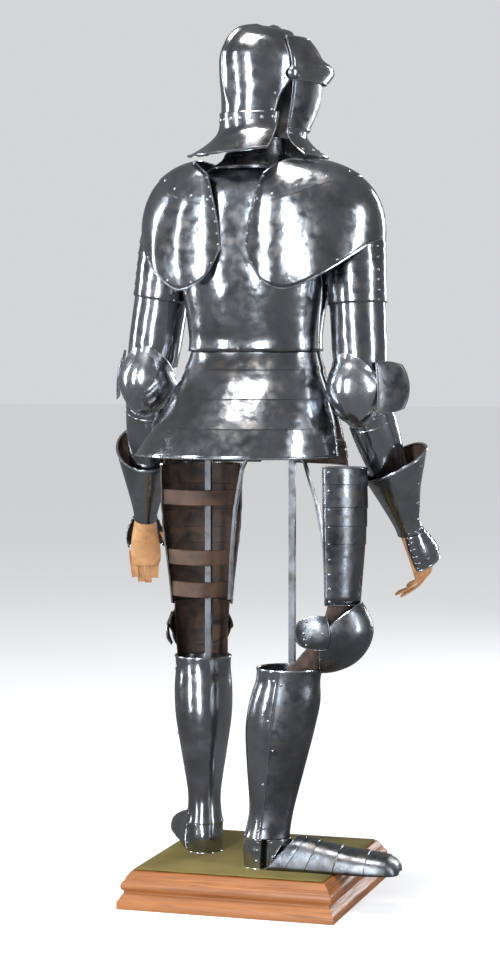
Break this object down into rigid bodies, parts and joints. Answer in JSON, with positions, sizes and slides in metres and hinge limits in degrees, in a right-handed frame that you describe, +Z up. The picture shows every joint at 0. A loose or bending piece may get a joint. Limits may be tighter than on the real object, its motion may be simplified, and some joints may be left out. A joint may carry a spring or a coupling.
{
  "type": "suit of plate armour on a display stand",
  "caption": "Full suit of polished steel plate armour with close helmet, standing on two iron bars over a moulded oak plinth; visor and bevor turn.",
  "frame": {"origin": "centre of the plinth's underside", "axes": "+Z up; the figure faces -Y, its right arm is at -X"},
  "size_m": [0.7457, 0.5348, 1.886],
  "materials": {
    "polished_steel": "polished",
    "stand_iron": "dull",
    "stained_oak": "satin varnish",
    "green_baize": "felted",
    "tan_leather": "plain"
  },
  "bodies": {
    "body": {"ankle_lames_l": "polished_steel", "ankle_lames_r": "polished_steel", "arm_lames_l": "polished_steel", "arm_lames_r": "polished_steel", "backplate": "polished_steel", "backplate_bar": "stand_iron", "breastplate": "polished_steel", "breastplate_bar": "stand_iron", "cannon_lower_l": "polished_steel", "cannon_lower_r": "polished_steel", "cannon_upper_l": "polished_steel", "cannon_upper_r": "polished_steel", "couter_l": "polished_steel", "couter_r": "polished_steel", "couter_wing_l": "polished_steel", "couter_wing_r": "polished_steel", "crotch_arch": "stand_iron", "cuisse_l": "polished_steel", "cuisse_r": "polished_steel", "culet": "polished_steel", "fauld": "polished_steel", "gauntlet_cuff_l": "polished_steel", "gauntlet_cuff_r": "polished_steel", "gauntlet_lames_l": "polished_steel", "gauntlet_lames_r": "polished_steel", "glove_l": "tan_leather", "glove_r": "tan_leather", "gorget_back": "polished_steel", "gorget_front": "polished_steel", "greave_back_l": "polished_steel", "greave_back_r": "polished_steel", "greave_front_l": "polished_steel", "greave_front_r": "polished_steel", "heel_l": "polished_steel", "heel_r": "polished_steel", "helm_bolt_l": "polished_steel", "helm_bolt_r": "polished_steel", "helm_skull": "polished_steel", "helm_tail": "polished_steel", "hip_bar": "stand_iron", "pauldron_l": "polished_steel", "pauldron_r": "polished_steel", "plinth": "stained_oak", "plinth_baize": "green_baize", "poleyn_l": "polished_steel", "poleyn_r": "polished_steel", "poleyn_wing_l": "polished_steel", "poleyn_wing_r": "polished_steel", "sabaton_l": "polished_steel", "sabaton_r": "polished_steel", "spine_post": "stand_iron", "tasset_l": "polished_steel", "tasset_r": "polished_steel", "upright_l": "stand_iron", "upright_r": "stand_iron"},
    "bevor": {"helm_bevor": "polished_steel", "helm_bevor_collar": "polished_steel"},
    "visor": {"helm_visor": "polished_steel"}
  },
  "joints": [
    {"name": "bevor_hinge", "type": "hinge", "parent": "body", "child": "bevor", "pos_m": [-0.03335, 0.01405, 1.776], "axis": [0.7431, -0.6691, 0], "range_deg": [-14, 0]},
    {"name": "visor_hinge", "type": "hinge", "parent": "bevor", "child": "visor", "pos_m": [-0.03335, 0.01405, 1.776], "axis": [0.7431, -0.6691, 0], "range_deg": [-24, 12]}
  ]
}
